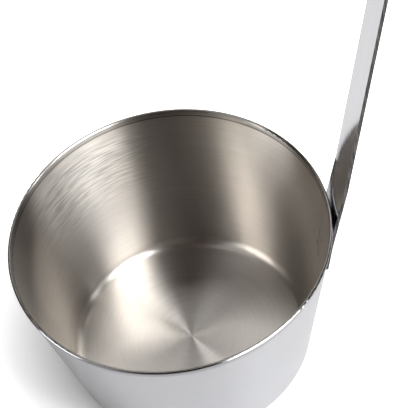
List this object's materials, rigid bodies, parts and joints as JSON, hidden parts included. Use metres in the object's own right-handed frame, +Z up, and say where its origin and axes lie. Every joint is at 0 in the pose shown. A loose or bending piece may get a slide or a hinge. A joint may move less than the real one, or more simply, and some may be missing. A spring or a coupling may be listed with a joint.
{
  "type": "candle melting pot",
  "caption": "Tapered stainless steel melting cup with a rolled lip and a long flat strap handle, spot-welded to its side and hooked at the top.",
  "frame": {"origin": "centre of the cup's flat base, on the surface that it stands on", "axes": "+Z up along the cup's axis, +X towards the handle strap, +Y to the right of the handle seen from outside"},
  "size_m": [0.1578, 0.105, 0.2059],
  "materials": {
    "cup_steel": "satin stainless steel, brushed round the axis inside and out",
    "strap_steel": "bright rolled stainless steel with fine lengthwise polishing lines and sheared edges",
    "weld_steel": "dull fused weld metal"
  },
  "bodies": {
    "root": {"cup": "cup_steel", "handle_strap": "strap_steel", "weld_nuggets": "weld_steel"}
  },
  "joints": []
}
